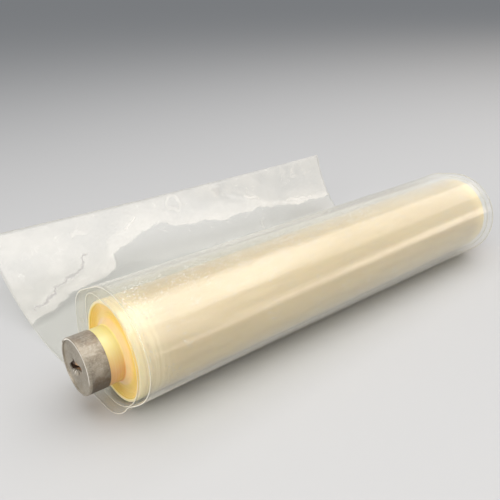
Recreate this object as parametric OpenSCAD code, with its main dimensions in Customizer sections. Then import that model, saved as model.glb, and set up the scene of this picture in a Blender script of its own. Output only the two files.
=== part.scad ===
// A roll of clear plastic film on a round core with a metal cup on each end.
// The film is one web: its loose end lies behind the roll and curls up at the cut edge,
// it passes under the roll, makes two slack turns and runs on into the tight pack.
// X runs along the roll, +Y towards the loose end, +Z up. The origin is on the table,
// under the middle of the pack.

/* [Film] */
// Width of the web
film_w = 266.7; // [200:0.1:320]
// Thickness of the web in its loose stretches, with the air that it holds
film_t = 0.5; // [0.4:0.05:0.8]
// Air left between one layer of the web and the next under the roll
lay_gap = 0.5; // [0.3:0.05:1]

/* [Tight pack] */
// Outer diameter of the tight pack
pack_d = 48.6; // [42:0.1:64]
// Radius of the rounded rim that the outermost tight turns make on each end
rim_round = 0.9; // [0.4:0.1:1.5]
// Depth of the dish between that rim and the root of the inner turns
dish_depth = 1.8; // [0.5:0.1:3]
// Thickness of the flare at the root of the inner turns
root_t = 2.5; // [0.5:0.1:4]
// How far out of the pack that flare starts
root_out = 2.2; // [0.5:0.1:3.5]
// Thickness of the innermost turns, which stand out beside the cap
neck_t = 0.5; // [0.4:0.1:2]
// How far the innermost turns stand out of the pack at the near end
neck_len = 8.8; // [5:0.1:20]
// How far they stand out at the far end
far_neck_len = 6.8; // [5:0.1:20]

/* [Slack turns] */
// How far the slack turns have slid along the roll, out of line with the pack
slide = 8; // [2:0.5:12]
// Height of the bulge in the outer turn at the near end, over the tight pack
near_slack = 21.1; // [8:0.1:30]
// Height of that bulge at the far end
far_slack = 8.7; // [4:0.1:20]
// Share of that bulge that the inner turn has at the far end
far_share = 0.45; // [0.2:0.05:0.8]
// Winding angle of the bulge's crest at the near end
near_crest = 118; // [100:1:135]
// Winding angle of the bulge's crest at the far end
far_crest = 117; // [100:1:140]
// Height of the lower bulge that both slack turns share at the back
back_slack = 3.8; // [2:0.1:8]
// Winding angle of that bulge's crest
back_crest = 221; // [210:1:228]
// Half angle of the flat spot that the roll presses on the table
spot_angle = 10; // [5:5:15]

/* [Loose end] */
// Distance behind the axis at which the web leaves the table, near edge
near_lift = 60; // [45:1:75]
// Distance behind the axis at which the web leaves the table, far edge
far_lift = 79; // [60:1:90]
// Reach of the cut edge behind the axis, near corner
near_reach = 150; // [120:1:180]
// Reach of the cut edge behind the axis, far corner
far_reach = 126; // [110:1:160]
// Height of the cut edge at the near corner
near_rise = 36; // [20:1:60]
// Height of the cut edge at the far corner
far_rise = 44; // [20:1:60]
// Sharpness of the curl at the near edge
near_curl = 1.8; // [1.5:0.1:4]
// Sharpness of the curl at the far edge
far_curl = 3.2; // [1.5:0.1:4]

/* [Core] */
// Diameter of the core
core_d = 25.4; // [20:0.1:30]
// Depth of the key pocket in each end of the core
pocket_depth = 8; // [4:0.5:15]
// Running clearance between the core and what it carries
core_fit = 0.1; // [0.05:0.05:0.3]

/* [End caps] */
// Thickness of the sheet metal
cap_t = 0.7; // [0.4:0.1:1]
// Length of the skirt over all
cap_len = 10; // [6:0.1:14]
// Width of the folded rim on the face
cap_rim = 1.3; // [0.8:0.1:2.5]
// Depth of the face behind the rim
cap_recess = 0.8; // [0.4:0.1:2]
// Radius on the outer edge of the rim
cap_edge = 0.5; // [0.2:0.1:0.8]

/* [Drive hole] */
// Length of the punched slot
slot_len = 13.8; // [9:0.1:16]
// Width of the slot at its waist
slot_w = 1.6; // [1.2:0.1:3]
// Diameter of the torn lobes at the slot's ends
lobe_d = 2.8; // [2:0.1:4]
// Height of the torn corner above the slot
torn_h = 3.4; // [2:0.1:6]
// Diameter of the small lobe in that corner
corner_d = 1.8; // [1:0.1:3]
// Angle of the slot to the table
slot_tilt = 20; // [0:1:60]
// How far the slot's middle lies behind the axis
slot_back = 1.7; // [0:0.1:2.5]
// How far it lies below the axis
slot_drop = 1.5; // [0:0.1:2.5]
// Length of the bent lip under the slot
lip_len = 6; // [3:0.1:8]
// How far that lip stands out of the face
lip_out = 0.8; // [0.4:0.1:1.5]

/* [Hidden] */
$fn = 96;

pack_r = pack_d / 2;
half_w = film_w / 2;
core_r = core_d / 2;
neck_r = core_r + core_fit + neck_t;
root_r = neck_r + root_t;

// The cup grips the core, and its back edge stands against the innermost turns
cap_in_r = core_r + core_fit;
cap_r = cap_in_r + cap_t;
cap_back = half_w + neck_len;
cap_front = cap_back + cap_len;
face_front = cap_front - cap_recess;
core_end = face_front - cap_t - core_fit;
// The far cup sits nearer to the pack than the near one by this much
far_in = neck_len - far_neck_len;

// Two layers of the web lie between the pack and the table
axis_z = pack_r + 2 * (film_t + lay_gap);
rest_r = axis_z - film_t / 2;
first_lay_r = pack_r + lay_gap + film_t / 2;
sunk_r = pack_r - film_t;

// The outer turn closes on the first layer, and the inner one dives into the pack
close_angle = 290;
dive_angle = 620;
blend_angle = 60;
turn_step = 5;
web_end = dive_angle + blend_angle;
tail_steps = 20;

near_before = 65;
near_after = 109;
far_before = 103;
far_after = 111;
back_before = 40;
back_after = 37;

function blend(a, b, t) = let (u = max(0, min(1, t))) a + (b - a) * u * u * (3 - 2 * u);

// A rounded bump that rises over one angle and falls over another
function bump(a, crest, before, after, height) =
    let (u = (a - crest) / (a < crest ? before : after))
    abs(u) < 1 ? height * (1 + cos(180 * u)) / 2 : 0;

function back_bump(a) = bump(a, back_crest, back_before, back_after, back_slack);

function front_bump(a, far) =
    far ? bump(a, far_crest, far_before, far_after, far_slack)
        : bump(a, near_crest, near_before, near_after, near_slack);

// Radius of the web's middle at winding angle a, counted from under the roll
function outer_turn_r(a, far) =
    blend(rest_r / cos(min(a, spot_angle)), first_lay_r, (a - close_angle) / blend_angle)
    + front_bump(a, far) + back_bump(a);
function inner_turn_r(a, far) =
    blend(first_lay_r, sunk_r, (a - dive_angle) / blend_angle)
    + (far ? far_share * front_bump(a - 360, far) : 0) + back_bump(a - 360);
function web_r(a, far) = a < 360 ? outer_turn_r(a, far) : inner_turn_r(a, far);

// The web slides back into line with the pack as it winds in
function web_x(a, far) = (far ? half_w : -half_w) - slide * (1 - a / web_end);

function turn_point(a, far) =
    let (r = web_r(a, far)) [web_x(a, far), -r * sin(a), axis_z - r * cos(a)];

function tail_point(u, far) =
    let (lift = far ? far_lift : near_lift, reach = far ? far_reach : near_reach,
         rise = far ? far_rise : near_rise, curl = far ? far_curl : near_curl)
    [web_x(0, far), lift + (reach - lift) * u, film_t / 2 + rise * pow(u, curl)];

// The middle line of one edge of the web, from the cut edge to inside the pack
function web_line(far) = concat(
    [for (i = [tail_steps:-1:0]) tail_point(i / tail_steps, far)],
    [for (a = [0:turn_step:web_end]) turn_point(a, far)]);

function normal_at(line, i) =
    let (d = line[min(i + 1, len(line) - 1)] - line[max(i - 1, 0)])
    [0, -d[2], d[1]] / norm([d[1], d[2]]);

module web() {
    near_line = web_line(false);
    far_line = web_line(true);
    last = len(near_line) - 1;
    points = [for (i = [0:last])
        let (n = film_t / 2 * normal_at(near_line, i), m = film_t / 2 * normal_at(far_line, i))
        each [near_line[i] + n, near_line[i] - n, far_line[i] - m, far_line[i] + m]];
    walls = [for (i = [0:last - 1], k = [0:3])
        let (a = 4 * i + k, b = 4 * i + (k + 1) % 4)
        each [[a, b, a + 4], [b, b + 4, a + 4]]];
    ends = [[0, 2, 1], [0, 3, 2], [4 * last, 4 * last + 1, 4 * last + 2],
            [4 * last, 4 * last + 2, 4 * last + 3]];
    polyhedron(points, concat(walls, ends));
}

// The dish dips between the root of the inner turns and the rim
dish_steps = 6;
function dish_point(u) =
    [root_r + (pack_r - 2 * rim_round - root_r) * u, half_w - dish_depth * sin(180 * u)];
function rim_point(a) = [pack_r - rim_round + rim_round * cos(a), half_w + rim_round * sin(a)];

// Half profile of the pack as radius and distance along the axis, for the end on side s,
// with the innermost turns out to the back edge of that end's cup
function pack_end(s, cup) = [for (p = concat(
    [[core_r + core_fit, cup], [neck_r, cup], [neck_r, half_w + root_out]],
    [for (i = [0:dish_steps]) dish_point(i / dish_steps)],
    [for (a = [150:-30:0]) rim_point(a)])) [p[0], s * p[1]]];

module along_x() {
    translate([0, 0, axis_z]) rotate([0, 90, 0]) children();
}

module pack() {
    far_end = pack_end(1, cap_back - far_in);
    near_end = pack_end(-1, cap_back);
    along_x() rotate_extrude()
        polygon(concat(near_end, [for (i = [len(far_end) - 1:-1:0]) far_end[i]]));
}

module film() {
    color([0.93, 0.86, 0.62]) union() {
        pack();
        web();
    }
}

module slot_lobes(grow) {
    for (s = [-1, 1])
        translate([s * (slot_len - lobe_d) / 2, 0]) circle(d = lobe_d + grow);
    square([slot_len - lobe_d, slot_w + grow], center = true);
}

module corner_lobe(grow) {
    translate([0, torn_h]) circle(d = corner_d + grow);
}

// The punched hole: a slot with a torn corner above it
module drive_hole() {
    slot_lobes(0);
    corner_lobe(0);
    polygon([[-slot_len / 2 + lobe_d / 2, 0], [-corner_d / 2, torn_h], [corner_d / 2, torn_h],
             [slot_len / 2 - lobe_d / 2, 0]]);
}

module across_end(x, depth) {
    translate([x, slot_back, axis_z - slot_drop]) rotate([90, 0, 90]) rotate([0, 0, -slot_tilt])
        linear_extrude(depth) children();
}

module key_pocket() {
    across_end(-core_end - 1, pocket_depth + 1) {
        slot_lobes(-core_fit);
        corner_lobe(-core_fit);
    }
}

// Whatever sits on the near end, turned round for the far one
module on_far_end() {
    translate([-far_in, 0, 0]) mirror([1, 0, 0]) children();
}

module core() {
    color("peru") difference() {
        along_x() translate([0, 0, -core_end]) cylinder(r = core_r, h = 2 * core_end - far_in);
        key_pocket();
        on_far_end() key_pocket();
    }
}

// Half profile of the drawn cup as radius and distance from the skirt's back edge
function cup_edge() =
    [for (a = [0:15:90]) [cap_r - cap_edge + cap_edge * cos(a), cap_len - cap_edge + cap_edge * sin(a)]];

module cup() {
    face = cap_len - cap_recess;
    rotate_extrude() polygon(concat(
        [[cap_in_r, 0], [cap_r, 0]],
        cup_edge(),
        [[cap_r - cap_rim, cap_len], [cap_r - cap_rim, face], [0, face], [0, face - cap_t],
         [cap_in_r, face - cap_t]]));
}

// The edge of the punched slot is bent outwards along its lower side
module slot_lip() {
    across_end(-face_front - lip_out, lip_out)
        translate([-lip_len / 2, -slot_w / 2 - cap_t]) square([lip_len, cap_t]);
}

module end_cap() {
    color([0.36, 0.34, 0.32]) union() {
        difference() {
            translate([-cap_back, 0, axis_z]) rotate([0, -90, 0]) cup();
            across_end(-cap_front - 1, cap_len) drive_hole();
        }
        slot_lip();
    }
}

module near_end_cap() {
    end_cap();
}

module far_end_cap() {
    on_far_end() end_cap();
}

film();
core();
near_end_cap();
far_end_cap();
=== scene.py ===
import bpy
import bmesh
import math
from mathutils import Matrix, Vector, noise


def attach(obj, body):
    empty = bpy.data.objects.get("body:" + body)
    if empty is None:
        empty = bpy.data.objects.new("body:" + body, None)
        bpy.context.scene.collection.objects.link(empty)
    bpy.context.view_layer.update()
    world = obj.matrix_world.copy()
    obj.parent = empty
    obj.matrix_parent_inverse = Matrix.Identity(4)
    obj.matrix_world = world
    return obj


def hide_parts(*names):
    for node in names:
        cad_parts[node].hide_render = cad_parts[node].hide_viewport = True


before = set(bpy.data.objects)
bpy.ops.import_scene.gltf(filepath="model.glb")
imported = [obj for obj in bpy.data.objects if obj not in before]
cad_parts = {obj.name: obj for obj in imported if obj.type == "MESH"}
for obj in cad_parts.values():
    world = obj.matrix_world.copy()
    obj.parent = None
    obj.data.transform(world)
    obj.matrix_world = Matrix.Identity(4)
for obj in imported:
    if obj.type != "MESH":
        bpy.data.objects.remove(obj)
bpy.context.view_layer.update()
scene = bpy.context.scene


# Small helpers for meshes and node trees
def addNode(tree, kind, values=None, **settings):
    node = tree.nodes.new(kind)
    for key, value in settings.items():
        setattr(node, key, value)
    for key, value in (values or {}).items():
        feed(tree, node.inputs[key], value)
    return node


def feed(tree, socket, value):
    if isinstance(value, bpy.types.NodeSocket):
        tree.links.new(value, socket)
    else:
        socket.default_value = value


def calc(tree, operation, first, second=None, third=None, clamp=False):
    node = tree.nodes.new("ShaderNodeMath")
    node.operation = operation
    node.use_clamp = clamp
    for index, value in enumerate((first, second, third)):
        if value is not None:
            feed(tree, node.inputs[index], value)
    return node.outputs[0]


def vectorCalc(tree, operation, first, second=None, scale=None):
    node = tree.nodes.new("ShaderNodeVectorMath")
    node.operation = operation
    feed(tree, node.inputs[0], first)
    if second is not None:
        feed(tree, node.inputs[1], second)
    if scale is not None:
        feed(tree, node.inputs["Scale"], scale)
    return node.outputs["Value" if operation in ("LENGTH", "DISTANCE", "DOT_PRODUCT") else "Vector"]


def smoothStep(tree, value, low, high, outLow=0.0, outHigh=1.0):
    node = addNode(tree, "ShaderNodeMapRange", {0: value, 1: low, 2: high, 3: outLow, 4: outHigh},
                   interpolation_type="SMOOTHSTEP")
    return node.outputs[0]


def fade(tree, share, low, high):
    return addNode(tree, "ShaderNodeMapRange", {0: share, 3: low, 4: high}).outputs[0]


def smallest(tree, values):
    least = values[0]
    for value in values[1:]:
        least = calc(tree, "MINIMUM", least, value)
    return least


def joinXYZ(tree, x=0.0, y=0.0, z=0.0):
    return addNode(tree, "ShaderNodeCombineXYZ", {0: x, 1: y, 2: z}).outputs[0]


def splitXYZ(tree, vector):
    return tuple(addNode(tree, "ShaderNodeSeparateXYZ", {0: vector}).outputs)


def newObject(name, points, faces, edges=()):
    mesh = bpy.data.meshes.new(name)
    mesh.from_pydata([tuple(p) for p in points], [tuple(e) for e in edges], [tuple(f) for f in faces])
    mesh.update()
    piece = bpy.data.objects.new(name, mesh)
    scene.collection.objects.link(piece)
    return piece


def storeOn(piece, name, values):
    layer = piece.data.attributes.new(name, "FLOAT", "POINT")
    layer.data.foreach_set("value", values)


def newTree(name, inputs):
    tree = bpy.data.node_groups.new(name, "GeometryNodeTree")
    tree.interface.new_socket(name="Geometry", in_out="INPUT", socket_type="NodeSocketGeometry")
    for label, kind, default in inputs:
        socket = tree.interface.new_socket(name=label, in_out="INPUT", socket_type="NodeSocket" + kind)
        if default is not None:
            socket.default_value = default
    tree.interface.new_socket(name="Geometry", in_out="OUTPUT", socket_type="NodeSocketGeometry")
    return tree, tree.nodes.new("NodeGroupInput"), tree.nodes.new("NodeGroupOutput")


def meshAfterModifiers(piece):
    depsgraph = bpy.context.evaluated_depsgraph_get()
    mesh = bpy.data.meshes.new_from_object(piece.evaluated_get(depsgraph),
                                           preserve_all_data_layers=True, depsgraph=depsgraph)
    piece.modifiers.clear()
    return mesh


def runTree(tree, source, name, values):
    modifier = source.modifiers.new(tree.name, "NODES")
    modifier.node_group = tree
    for item in tree.interface.items_tree:
        if item.item_type == "SOCKET" and item.in_out == "INPUT" and item.name in values:
            modifier[item.identifier] = values[item.name]
    mesh = meshAfterModifiers(source)
    bpy.data.objects.remove(source)
    mesh.name = name
    piece = bpy.data.objects.new(name, mesh)
    scene.collection.objects.link(piece)
    print(name, "has", len(mesh.polygons), "faces")
    return piece


def newMaterial(name):
    material = bpy.data.materials.new(name)
    material.use_nodes = True
    tree = material.node_tree
    tree.nodes.clear()
    return material, tree, tree.nodes.new("ShaderNodeOutputMaterial")


def objectCoords(tree, shift=(0, 0, 0), stretch=(1, 1, 1)):
    coords = tree.nodes.new("ShaderNodeTexCoord").outputs["Object"]
    moved = addNode(tree, "ShaderNodeMapping", {"Vector": coords, "Location": shift, "Scale": stretch})
    return moved.outputs[0]


def noiseOn(tree, vector, scale, detail=2.0, roughness=0.5):
    node = addNode(tree, "ShaderNodeTexNoise", {"Vector": vector, "Scale": scale, "Detail": detail,
                                                "Roughness": roughness})
    return node.outputs[0]


def colourRamp(tree, value, stops):
    node = tree.nodes.new("ShaderNodeValToRGB")
    feed(tree, node.inputs[0], value)
    while len(node.color_ramp.elements) < len(stops):
        node.color_ramp.elements.new(0.5)
    for element, (place, colour) in zip(node.color_ramp.elements, stops):
        element.position = place
        element.color = (*colour, 1.0)
    return node.outputs[0]


def mixColours(tree, share, first, second, blend="MIX"):
    node = tree.nodes.new("ShaderNodeMix")
    node.data_type = "RGBA"
    node.blend_type = blend
    feed(tree, node.inputs[0], share)
    for index, value in ((6, first), (7, second)):
        feed(tree, node.inputs[index], (*value, 1.0) if isinstance(value, tuple) else value)
    return node.outputs[2]


def bumpFrom(tree, height, distance, strength=1.0, normal=None):
    node = addNode(tree, "ShaderNodeBump", {"Height": height, "Distance": distance, "Strength": strength})
    if normal is not None:
        tree.links.new(normal, node.inputs["Normal"])
    return node.outputs[0]


# The roll: sizes shared by the pack and the loose web, in metres
roll = {
    "axisHeight": 0.0263,
    "packRadius": 0.0243,
    "halfWidth": 0.13335,
    "coreRadius": 0.0127,
    "capBack": 0.14215,
    "farIn": 0.002,        # the far cap sits this much nearer to the pack
    "capRadius": 0.0135,
}


# Camera, lights and floor
view = {
    "place": (-0.23195, -0.21572, 0.17882),
    "yaw": 39.66,
    "down": 24.25,
    "roll": -0.011,              # in radians; the two angles above are in degrees
    "lens": 43.30,
    "floorHalf": 12,
    "floorHeight": -0.0002,
    "floor": (0.52, 0.535, 0.55),
    "floorSpot": (0.48, 0.495, 0.51),
    "spots": (9.0, 3.0),         # scale and detail of the noise
    "spotShare": 0.06,
    "surround": (0.80, 0.81, 0.83),
    "ambient": 0.46,             # strength of the surround as a light
    "clearWalls": 40,            # a look through the slack turns meets many walls
}

# Each lamp: its place, the point it faces, its size, power and colour
lamps = {
    "overheadBox": ((0.125, -0.17, 0.95), (0.125, -0.169, 0.0), (1.45, 1.0), 10.4, (1.0, 0.96, 0.93)),
    "farBox": ((1.45, -0.17, 0.95), (1.45, -0.169, 0.0), (1.15, 1.0), 4.2, (1.0, 0.86, 0.73)),
    "frontCard": ((0.5, -1.0, 0.80), (-0.12, 0.0, 0.04), (0.45, 0.6), 1.5, (1.0, 0.87, 0.75)),
    "frontStrip": ((0.85, -0.92, 0.15), (0.03, 0.0, 0.03), (0.9, 0.24), 1.7, (1.0, 0.86, 0.74)),
    "leftCard": ((-0.85, -0.25, 0.42), (-0.13, 0.0, 0.03), (0.5, 0.5), 4.4, (1.0, 0.93, 0.84)),
}


def setCamera():
    yaw, down = math.radians(view["yaw"]), math.radians(view["down"])
    ahead = Vector((math.sin(yaw) * math.cos(down), math.cos(yaw) * math.cos(down), -math.sin(down)))
    right = Vector((math.cos(yaw), -math.sin(yaw), 0))
    up = right.cross(ahead)
    side = math.cos(view["roll"]) * right + math.sin(view["roll"]) * up
    top = -math.sin(view["roll"]) * right + math.cos(view["roll"]) * up
    data = bpy.data.cameras.new("photoCamera")
    data.lens, data.sensor_width, data.sensor_fit = view["lens"], 36.0, "HORIZONTAL"
    data.clip_start, data.clip_end = 0.01, 30.0
    camera = bpy.data.objects.new("photoCamera", data)
    scene.collection.objects.link(camera)
    turn = Matrix((side, top, -ahead)).transposed().to_4x4()
    camera.matrix_world = Matrix.Translation(view["place"]) @ turn
    scene.camera = camera


def addLamp(name, place, target, size, power, colour):
    data = bpy.data.lights.new(name, "AREA")
    data.shape, data.size, data.size_y = "RECTANGLE", size[0], size[1]
    data.energy, data.color = power, colour
    lamp = bpy.data.objects.new(name, data)
    scene.collection.objects.link(lamp)
    lamp.location = place
    lamp.rotation_euler = (Vector(target) - Vector(place)).to_track_quat("-Z", "Y").to_euler()


def setFloor():
    half, height = view["floorHalf"], view["floorHeight"]
    corners = [(-half, -half, height), (half, -half, height), (half, half, height), (-half, half, height)]
    floor = newObject("floor", corners, [(0, 1, 2, 3)])
    material, tree, output = newMaterial("paleTable")
    spots = noiseOn(tree, objectCoords(tree), *view["spots"])
    share = calc(tree, "MULTIPLY", spots, view["spotShare"])
    shade = mixColours(tree, share, view["floor"], view["floorSpot"])
    surface = addNode(tree, "ShaderNodeBsdfDiffuse", {"Color": shade})
    tree.links.new(surface.outputs[0], output.inputs[0])
    floor.data.materials.append(material)


def setSurround():
    world = bpy.data.worlds.new("studio")
    scene.world = world
    world.use_nodes = True
    tree = world.node_tree
    tree.nodes.clear()
    # seen directly, in gloss or through glass it is at full strength, and it lights the object at less
    path = tree.nodes.new("ShaderNodeLightPath").outputs
    seen = calc(tree, "MAXIMUM", path["Is Glossy Ray"], path["Is Transmission Ray"])
    seen = calc(tree, "MAXIMUM", path["Is Camera Ray"], seen)
    strength = fade(tree, seen, view["ambient"], 1.0)
    sky = addNode(tree, "ShaderNodeBackground", {"Color": (*view["surround"], 1.0), "Strength": strength})
    output = tree.nodes.new("ShaderNodeOutputWorld")
    tree.links.new(sky.outputs[0], output.inputs[0])


setCamera()
for name, settings in lamps.items():
    addLamp(name, *settings)
setFloor()
setSurround()
scene.view_settings.view_transform = "Standard"
scene.cycles.transparent_max_bounces = view["clearWalls"]
print("camera, lights and floor set")


# Materials of the film. In these dictionaries three numbers for a noise are its scale, detail and
# roughness, and two or four numbers for a change are where it starts and ends, and its shares there.
packLook = {
    "cream": (0.68, 0.54, 0.315),
    "creamDeep": (0.59, 0.455, 0.25),
    # painted glow near the ends of the wound side
    "glow": (0.94, 0.85, 0.58),
    "gold": (0.88, 0.63, 0.13),
    "goldPale": (0.93, 0.74, 0.26),
    "neckTop": (1.0, 0.83, 0.26),
    "neckLow": (0.93, 0.41, 0.12),
    "neckPale": (0.98, 0.72, 0.36),
    "flare": (0.94, 0.66, 0.37),
    "scatter": (0.008, 0.005, 0.0015),
    "streaks": (90.0, 3.0, 0.6),
    "turns": (620.0, 2.0, 0.7),
    "rings": (2600.0, 2.0, 0.7),
    "lines": (1500.0, 2.0, 0.7),
    "waves": (55.0, 2.0, 0.5),
    "pulls": (420.0, 2.0, 0.6),
    "nearGlow": (-0.112, -0.132, 0.0, 0.75),    # places along the roll
    "farPale": (0.118, 0.133, 0.0, 0.5),
    "neckShade": (-0.003, 0.0125),              # heights above the axis
    "rimDepth": (0.0019, 0.0006),               # below the pack's surface
    "neckEdge": (0.0139, 0.0134),               # radii
    "flareEdge": (0.0170, 0.0152, 0.0, 0.8),
    "waveBump": (0.0014, 0.7),                  # height and strength
    "pullBump": (0.0002, 0.6),
    "grooveBump": (0.0001, 0.6),
}


def tightFilmMaterial():
    look = packLook
    material, tree, output = newMaterial("tightFilm")
    x, y, z = splitXYZ(tree, objectCoords(tree, shift=(0, 0, -roll["axisHeight"])))
    along = calc(tree, "ABSOLUTE", x)
    radius = vectorCalc(tree, "LENGTH", joinXYZ(tree, y=y, z=z))

    # the wound side: long soft streaks of more and less yellow, with a painted glow near both ends
    streaks = noiseOn(tree, objectCoords(tree, stretch=(0.12, 1, 1)), *look["streaks"])
    side = mixColours(tree, smoothStep(tree, streaks, 0.35, 0.7), look["cream"], look["creamDeep"])
    turns = noiseOn(tree, joinXYZ(tree, along, calc(tree, "MULTIPLY", radius, 0.3)), *look["turns"])
    # painted glow at the near end, broken up by the turns
    glow = calc(tree, "MULTIPLY", smoothStep(tree, x, *look["nearGlow"]),
                smoothStep(tree, turns, 0.38, 0.58, 0.5, 1.0))
    side = mixColours(tree, glow, side, look["glow"])
    # painted glow at the far end, towards pale gold
    side = mixColours(tree, smoothStep(tree, x, *look["farPale"]), side, look["goldPale"])
    # the dished ends: fine rings, like the edges of the turns
    rings = noiseOn(tree, joinXYZ(tree, radius), *look["rings"])
    ends = mixColours(tree, smoothStep(tree, rings, 0.35, 0.68), look["gold"], look["goldPale"])
    # the inner turns beside the cap: lines round the axis
    lines = noiseOn(tree, joinXYZ(tree, along), *look["lines"])
    # the neck is darker and more orange towards the bottom: partly the inner turns' own tone, partly painted
    # shade
    neck = mixColours(tree, smoothStep(tree, z, *look["neckShade"]), look["neckLow"], look["neckTop"])
    neck = mixColours(tree, smoothStep(tree, lines, 0.4, 0.7, 0.0, 0.3), neck, look["neckPale"])

    # the rim is pale, the dish behind it deep yellow, the flare at the neck's root a warmer tone
    rimStart, rimEnd = (roll["packRadius"] - depth for depth in look["rimDepth"])
    onSide = smoothStep(tree, radius, rimStart, rimEnd)
    onNeck = smoothStep(tree, radius, *look["neckEdge"])
    ends = mixColours(tree, smoothStep(tree, radius, *look["flareEdge"]), ends, look["flare"])
    colour = mixColours(tree, onNeck, mixColours(tree, onSide, ends, side), neck)

    # long shallow waves in the turns, with finer pull lines along the roll
    waves = noiseOn(tree, objectCoords(tree, stretch=(0.25, 1, 1)), *look["waves"])
    pulls = noiseOn(tree, objectCoords(tree, stretch=(0.04, 1, 1)), *look["pulls"])
    grooves = calc(tree, "MULTIPLY", rings, calc(tree, "SUBTRACT", 1.0, onSide))
    normal = bumpFrom(tree, waves, *look["waveBump"])
    normal = bumpFrom(tree, calc(tree, "MULTIPLY", pulls, onSide), *look["pullBump"], normal)
    normal = bumpFrom(tree, grooves, *look["grooveBump"], normal)
    surface = addNode(tree, "ShaderNodeBsdfPrincipled", {
        "Base Color": colour, "Roughness": fade(tree, onSide, 0.46, 0.40), "IOR": 1.9, "Normal": normal,
        "Subsurface Weight": 0.4, "Subsurface Radius": look["scatter"], "Subsurface Scale": 1.0,
        "Coat Weight": 0.6, "Coat Roughness": 0.25, "Coat IOR": 1.6})
    tree.links.new(surface.outputs[0], output.inputs[0])
    return material


clearLook = {
    "passed": (0.975, 0.975, 0.955),   # what one wall lets through
    "veil": (0.92, 0.91, 0.88),        # dust and fine haze; also the colour of the painted reflection and highlights on the loose end
    "fold": (0.36, 0.35, 0.36),        # painted shade: the shaded side of a fold, and the second dent
    "mirror": (0.55, 0.028),           # what a wall reflects: added at a slant, and face on
    "rough": 0.16,
    "ripple": (60.0, 2.0, 0.5),
    "rippleBump": (0.0005, 0.35),
    "markBump": (0.0003, 0.5),
    # painted reflection on the raised part of the loose end
    "paintedReflection": 0.22,
    # painted highlight on the creases and the ring round the first dent
    "creaseHighlight": 0.13,
    "foldVeil": 0.26,
    "foldShade": 0.85,
    "clean": 0.012,                    # veil where the film has no mark
    "turns": 0.02,                     # what the slack turns add to it, face on
    "grazing": 0.16,                   # and at a slant
    "speckVeil": 0.6,
    "speckScale": 820.0,
    "speckSize": (0.28, 0.15),
    "groups": (110.0, 3.0, 0.65),
    "groupEdge": (0.585, 0.645),
    "topSpan": (0.050, 0.060),         # heights above which the slack turns hold more dust
    "topDust": 0.145,
}


# Marks on the loose end, each spot as (share of its reach, place across)
marks = {
    "wide": 0.2667,
    "reach": 0.105,
    "reflectionNoise": (70.0, 5.0, 0.62),
    "cloudNoise": (42.0, 4.0, 0.6),
    "creaseWidth": 0.0018,
    "foldWidth": 0.0015,
    "wander": 0.010,                       # how far the drawn lines stray
    "wanderScale": 130.0,
    "faintNoise": (95.0, 2.0, 0.5),
    "ringRadius": 0.0045,                  # a painted highlight is drawn as a ring round the first dent
    "ringLine": (0.0018, 0.0003, 0.0, 0.8),
    "dentShade": (0.006, 0.001, 0.0, 0.6),    # and painted shade lies in the second
    "shapedCreases": 4,                    # the mesh has the first creases too, the rest are only drawn
    # at each place across, the share of the reach beyond which the painted reflection lies
    "reflectionEdge": [
        (0.0, 0.28), (0.08, 0.385), (0.145, 0.44), (0.205, 0.485), (0.245, 0.55), (0.262, 0.66),
        (0.31, 0.725), (0.35, 0.765), (0.39, 0.79), (0.425, 0.815), (0.46, 0.78), (0.5, 0.755),
        (0.595, 0.72), (0.675, 0.72), (0.745, 0.735), (0.875, 0.67), (1.0, 0.675)
    ],
    "folds": [
        [(0.400, 0.030), (0.435, 0.060), (0.535, 0.100), (0.535, 0.125), (0.620, 0.165), (0.710, 0.200)],
    ],
    "creases": [
        [(0.770, 0.255), (0.830, 0.320), (0.890, 0.355), (0.950, 0.350)],
        [(0.925, 0.640), (0.875, 0.685), (0.830, 0.730), (0.780, 0.750)],
        [(0.965, 0.885), (0.915, 0.885), (0.890, 0.910), (0.955, 0.935)],
        [(0.795, 0.750), (0.730, 0.830), (0.720, 0.905), (0.720, 1.000)],
        [(0.660, 0.730), (0.605, 0.725)],
        [(0.590, 0.710), (0.515, 0.710)],
        [(0.900, 0.150), (0.910, 0.170)],
        [(0.870, 0.185), (0.885, 0.225)],
    ],
    "dents": [(0.930, 0.480), (0.950, 0.620), (0.950, 0.870), (0.960, 0.350)],
}


def flatPlace(spot):
    # where a spot lies on the sheet spread out flat, in metres
    share, across = spot
    return (across * marks["wide"], share * marks["reach"], 0)


def lineDistance(tree, place, spots):
    # distance from a place on the sheet to a broken line, in metres
    points = [Vector(flatPlace(spot)) for spot in spots]
    distances = []
    for first, second in zip(points, points[1:]):
        span = second - first
        offset = vectorCalc(tree, "SUBTRACT", place, tuple(first))
        along = vectorCalc(tree, "DOT_PRODUCT", offset, tuple(span))
        share = calc(tree, "MULTIPLY", along, 1 / span.length_squared, clamp=True)
        foot = vectorCalc(tree, "SCALE", tuple(span), scale=share)
        distances.append(vectorCalc(tree, "DISTANCE", offset, foot))
    return smallest(tree, distances)


def tailReflection(tree, coords, tail, across):
    # a painted reflection: a whitish sheen over the raised part of the loose end
    limit = colourRamp(tree, across, [(place, (value,) * 3) for place, value in marks["reflectionEdge"]])
    ragged = calc(tree, "MULTIPLY_ADD", noiseOn(tree, coords, *marks["reflectionNoise"]), 0.16, -0.08)
    past = calc(tree, "ADD", calc(tree, "SUBTRACT", tail, limit), ragged)
    onTail = calc(tree, "GREATER_THAN", tail, 0.001)
    paintedReflection = calc(tree, "MULTIPLY", smoothStep(tree, past, -0.008, 0.012), onTail)
    # the painted reflection is cloudy all over, and thicker close to its boundary
    cloud = smoothStep(tree, noiseOn(tree, coords, *marks["cloudNoise"]), 0.3, 0.66, 0.25, 0.75)
    cloud = calc(tree, "ADD", cloud, smoothStep(tree, past, 0.16, 0.03, 0.0, 0.35))
    return calc(tree, "MULTIPLY", paintedReflection, cloud)


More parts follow.
